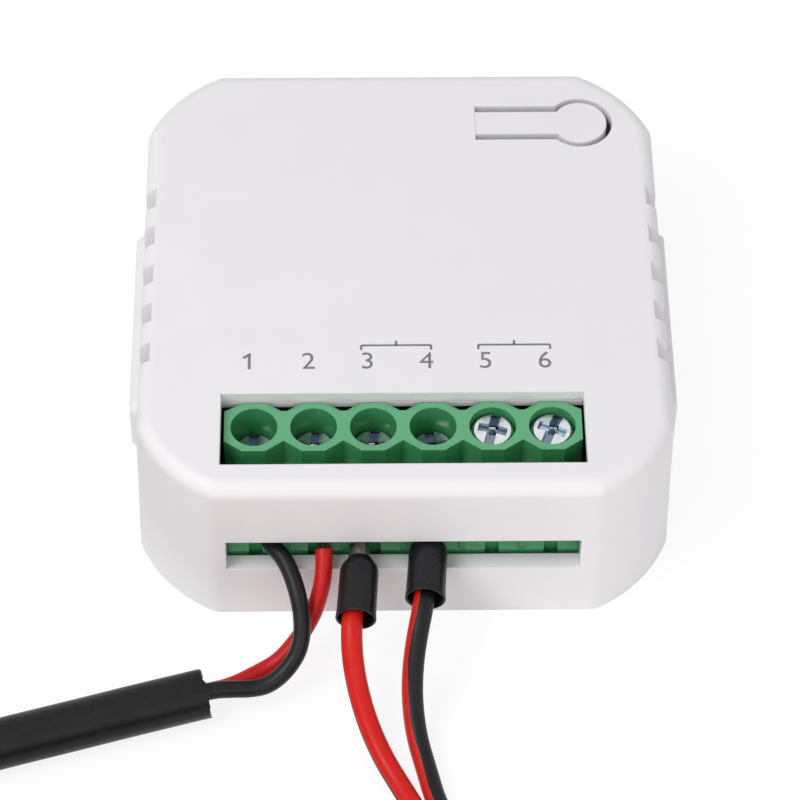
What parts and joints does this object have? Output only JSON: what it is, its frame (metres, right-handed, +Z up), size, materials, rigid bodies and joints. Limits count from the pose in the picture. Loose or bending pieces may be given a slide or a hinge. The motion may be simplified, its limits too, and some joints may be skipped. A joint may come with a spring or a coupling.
{
  "type": "smart energy monitor",
  "caption": "Flat octagonal in-wall energy meter module with screw terminals, a supply cable and a clip-on current clamp on a paired lead.",
  "frame": {"origin": "middle of the module's underside, on the surface it lies on", "axes": "+Z up out of the top face with the screws and the button; -Y out of the side with the wire slot, where the cords leave; +X to the right seen from that side"},
  "size_m": [0.1161, 0.1265, 0.024],
  "materials": {
    "white_plastic": "fine eroded mould texture, off white",
    "base_plastic": "fine eroded mould texture, off white",
    "green_plastic": "glass filled nylon, slightly glossy",
    "zinc_steel": "bright zinc plating",
    "tinned_brass": "tin plated, satin",
    "board": "solder mask over glass laminate",
    "radio_laminate": "dark solder mask",
    "shield_steel": "tin plated sheet",
    "wound_tape": "polyester tape over a winding",
    "can_aluminium": "printed sleeve over an aluminium can",
    "resistor_lacquer": "lacquered ceramic",
    "varistor_coat": "dipped epoxy",
    "chip_epoxy": "moulded epoxy",
    "lamp_resin": "clear resin over a yellow phosphor",
    "switch_body": "moulded nylon",
    "switch_stem": "moulded nylon",
    "copper": "bare copper strands",
    "tinned_copper": "tin plated copper tube",
    "collar_plastic": "polypropylene, satin",
    "core_black": "soft vinyl insulation, satin",
    "core_red": "soft vinyl insulation, satin",
    "jacket_black": "soft vinyl jacket, matt",
    "pair_red_black": "bonded red and black vinyl wires",
    "clamp_plastic": "fine eroded mould texture",
    "ferrite": "ground ferrite",
    "winding_wire": "enamelled copper wire",
    "pin_steel": "plain drawn steel"
  },
  "bodies": {
    "case": {"top_cover": "white_plastic", "base_cover": "base_plastic", "circuit_board": "board", "terminal_housing": "green_plastic", "terminal_cages": "tinned_brass", "neutral_strands": "copper", "live_strands": "copper", "ferrule_collar_1": "collar_plastic", "ferrule_collar_2": "collar_plastic", "ferrule_tube_1": "tinned_copper", "ferrule_tube_2": "tinned_copper", "tact_switch_body": "switch_body", "radio_board": "radio_laminate", "shield_can": "shield_steel", "transformer": "wound_tape", "filter_capacitors": "can_aluminium", "fuse_resistor": "resistor_lacquer", "varistor": "varistor_coat", "bridge_rectifier": "chip_epoxy", "power_chip": "chip_epoxy", "metering_chip": "chip_epoxy", "status_lamp": "lamp_resin", "core_neutral": "core_black", "core_live": "core_red", "supply_cable": "jacket_black", "supply_tail": "jacket_black", "supply_coil": "jacket_black", "supply_end_neutral": "core_black", "supply_end_live": "core_red", "ct_wire_red": "core_red", "ct_wire_black": "core_black", "ct_lead": "pair_red_black", "ct_lead_tail": "pair_red_black", "ct_coil": "pair_red_black", "ct_base": "clamp_plastic", "ct_hinge_pin": "pin_steel", "ct_core_lower": "ferrite", "ct_winding": "winding_wire"},
    "button": {"button_tab": "white_plastic"},
    "plunger": {"tact_switch_plunger": "switch_stem"},
    "jaw": {"ct_jaw": "clamp_plastic", "ct_core_upper": "ferrite"},
    "plate_1": {"clamp_plate_1": "zinc_steel"},
    "screw_1": {"terminal_screw_1": "zinc_steel"},
    "plate_2": {"clamp_plate_2": "zinc_steel"},
    "screw_2": {"terminal_screw_2": "zinc_steel"},
    "plate_3": {"clamp_plate_3": "zinc_steel"},
    "screw_3": {"terminal_screw_3": "zinc_steel"},
    "plate_4": {"clamp_plate_4": "zinc_steel"},
    "screw_4": {"terminal_screw_4": "zinc_steel"},
    "plate_5": {"clamp_plate_5": "zinc_steel"},
    "screw_5": {"terminal_screw_5": "zinc_steel"},
    "plate_6": {"clamp_plate_6": "zinc_steel"},
    "screw_6": {"terminal_screw_6": "zinc_steel"}
  },
  "joints": [
    {"name": "button_press", "type": "hinge", "parent": "case", "child": "button", "pos_m": [0.00684, 0.01755, 0.01585], "axis": [0, 1, 0], "range_deg": [0, 1.55]},
    {"name": "plunger_travel", "type": "slide", "parent": "case", "child": "plunger", "axis": [0, 0, 1], "range_m": [-0.00025, 0], "stiffness_N_per_m": 40},
    {"name": "jaw_swing", "type": "hinge", "parent": "case", "child": "jaw", "pos_m": [-0.0775, -0.088, 0], "axis": [0, 0, -1], "range_deg": [0, 100]},
    {"name": "screw_feed_1", "type": "slide", "parent": "case", "child": "plate_1", "axis": [0, 0, 1], "range_m": [0, 0.0026]},
    {"name": "screw_turn_1", "type": "hinge", "parent": "plate_1", "child": "screw_1", "pos_m": [-0.01287, -0.01645, 0], "axis": [0, 0, 1], "range_deg": [0, 1880]},
    {"name": "screw_feed_2", "type": "slide", "parent": "case", "child": "plate_2", "axis": [0, 0, 1], "range_m": [0, 0.0022]},
    {"name": "screw_turn_2", "type": "hinge", "parent": "plate_2", "child": "screw_2", "pos_m": [-0.00779, -0.01645, 0], "axis": [0, 0, 1], "range_deg": [0, 1592]},
    {"name": "screw_feed_3", "type": "slide", "parent": "case", "child": "plate_3", "axis": [0, 0, 1], "range_m": [0, 0.0021]},
    {"name": "screw_turn_3", "type": "hinge", "parent": "plate_3", "child": "screw_3", "pos_m": [-0.00271, -0.01645, 0], "axis": [0, 0, 1], "range_deg": [0, 1520]},
    {"name": "screw_feed_4", "type": "slide", "parent": "case", "child": "plate_4", "axis": [0, 0, 1], "range_m": [0, 0.0023]},
    {"name": "screw_turn_4", "type": "hinge", "parent": "plate_4", "child": "screw_4", "pos_m": [0.00237, -0.01645, 0], "axis": [0, 0, 1], "range_deg": [0, 1664]},
    {"name": "screw_feed_5", "type": "slide", "parent": "case", "child": "plate_5", "axis": [0, 0, 1], "range_m": [-0.0026, 0]},
    {"name": "screw_turn_5", "type": "hinge", "parent": "plate_5", "child": "screw_5", "pos_m": [0.00745, -0.01645, 0], "axis": [0, 0, 1], "range_deg": [-1880, 0]},
    {"name": "screw_feed_6", "type": "slide", "parent": "case", "child": "plate_6", "axis": [0, 0, 1], "range_m": [-0.0026, 0]},
    {"name": "screw_turn_6", "type": "hinge", "parent": "plate_6", "child": "screw_6", "pos_m": [0.01253, -0.01645, 0], "axis": [0, 0, 1], "range_deg": [-1880, 0]}
  ],
  "couplings": [
    {"joint": "button_press", "follows": "plunger_travel", "rad_per_m": -105.26},
    {"joint": "screw_turn_1", "follows": "screw_feed_1", "rad_per_m": 12566},
    {"joint": "screw_turn_2", "follows": "screw_feed_2", "rad_per_m": 12566},
    {"joint": "screw_turn_3", "follows": "screw_feed_3", "rad_per_m": 12566},
    {"joint": "screw_turn_4", "follows": "screw_feed_4", "rad_per_m": 12566},
    {"joint": "screw_turn_5", "follows": "screw_feed_5", "rad_per_m": 12566},
    {"joint": "screw_turn_6", "follows": "screw_feed_6", "rad_per_m": 12566}
  ]
}
